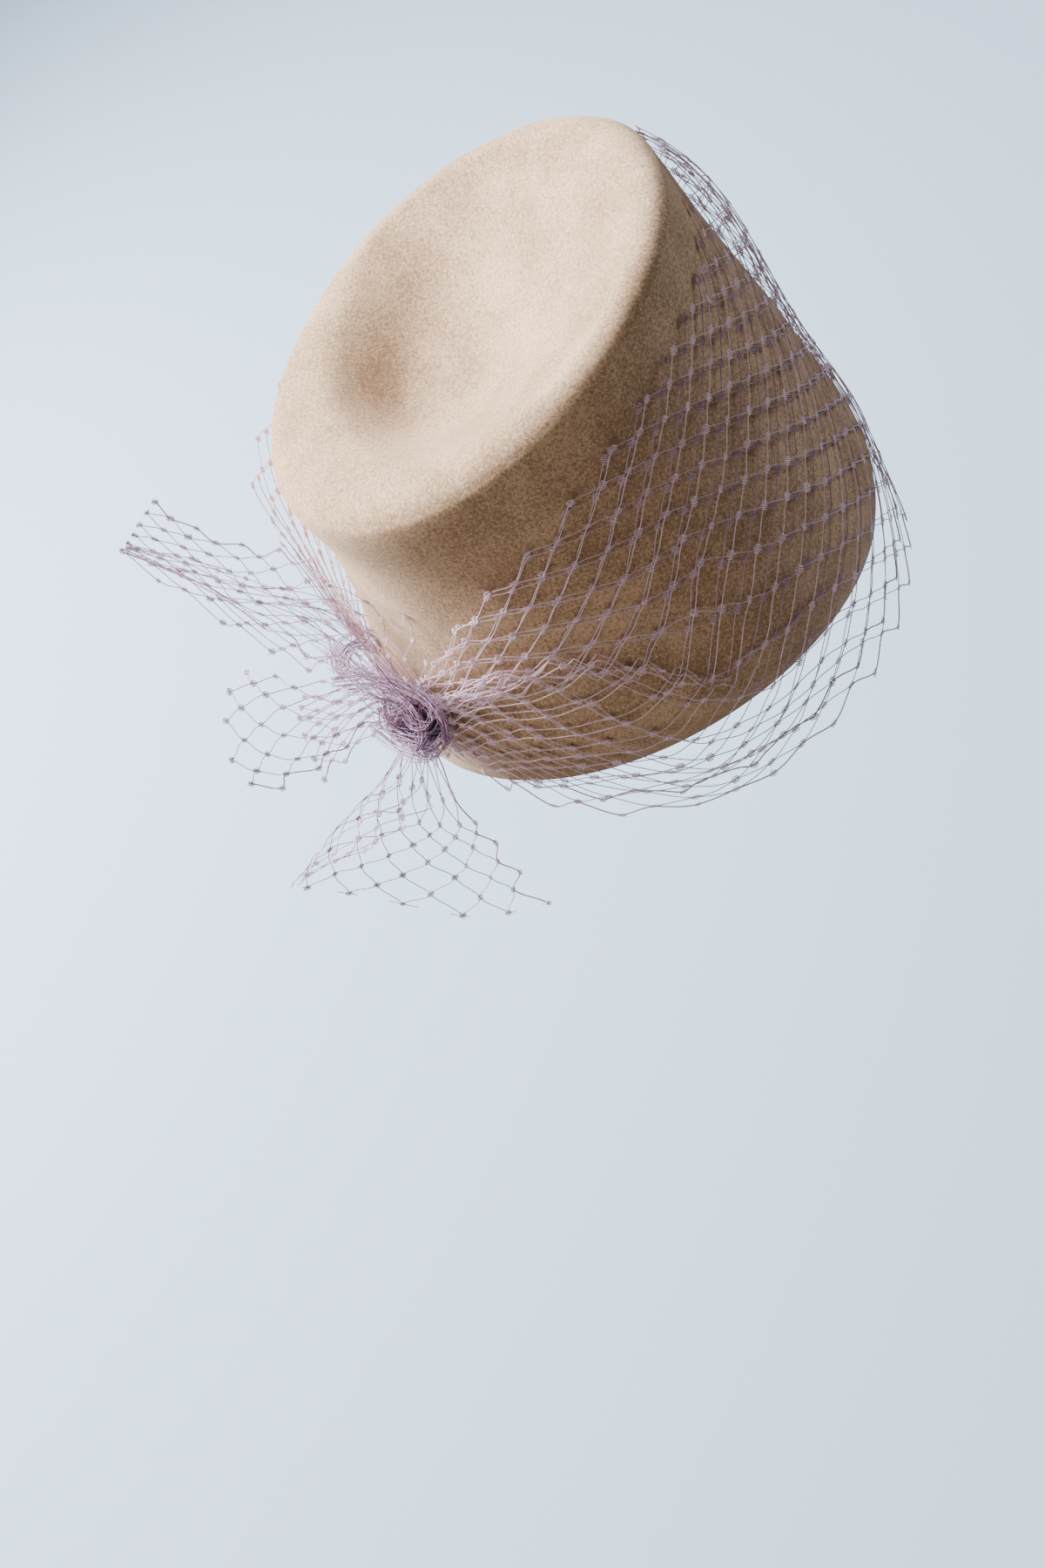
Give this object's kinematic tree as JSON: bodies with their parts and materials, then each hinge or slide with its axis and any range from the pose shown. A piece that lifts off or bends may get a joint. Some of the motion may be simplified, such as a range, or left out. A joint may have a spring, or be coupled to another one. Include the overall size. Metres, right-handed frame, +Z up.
{
  "type": "toque hat",
  "caption": "Brimless sculptural felt toque, high in front with a dished tip, wrapped in diamond net veiling gathered to a knot with fanned tails at the back.",
  "frame": {"origin": "middle of the head opening, on the plane of the rim", "axes": "+Z up through the crown, square to the rim; -Y is the front, where the crown is tall; +Y is the back; -X is the wearer's right, the side of the knot"},
  "size_m": [0.178, 0.2487, 0.184],
  "materials": {
    "felt": "camel wool felt with a short dense nap",
    "net": "dusty mauve veiling threads, slightly lustrous",
    "gathered_net": "the same veiling crumpled and sewn together"
  },
  "bodies": {
    "root": {"crown": "felt", "veil": "net", "knot": "gathered_net", "tail_upper": "net", "tail_middle": "net", "tail_lower": "net"}
  },
  "joints": []
}
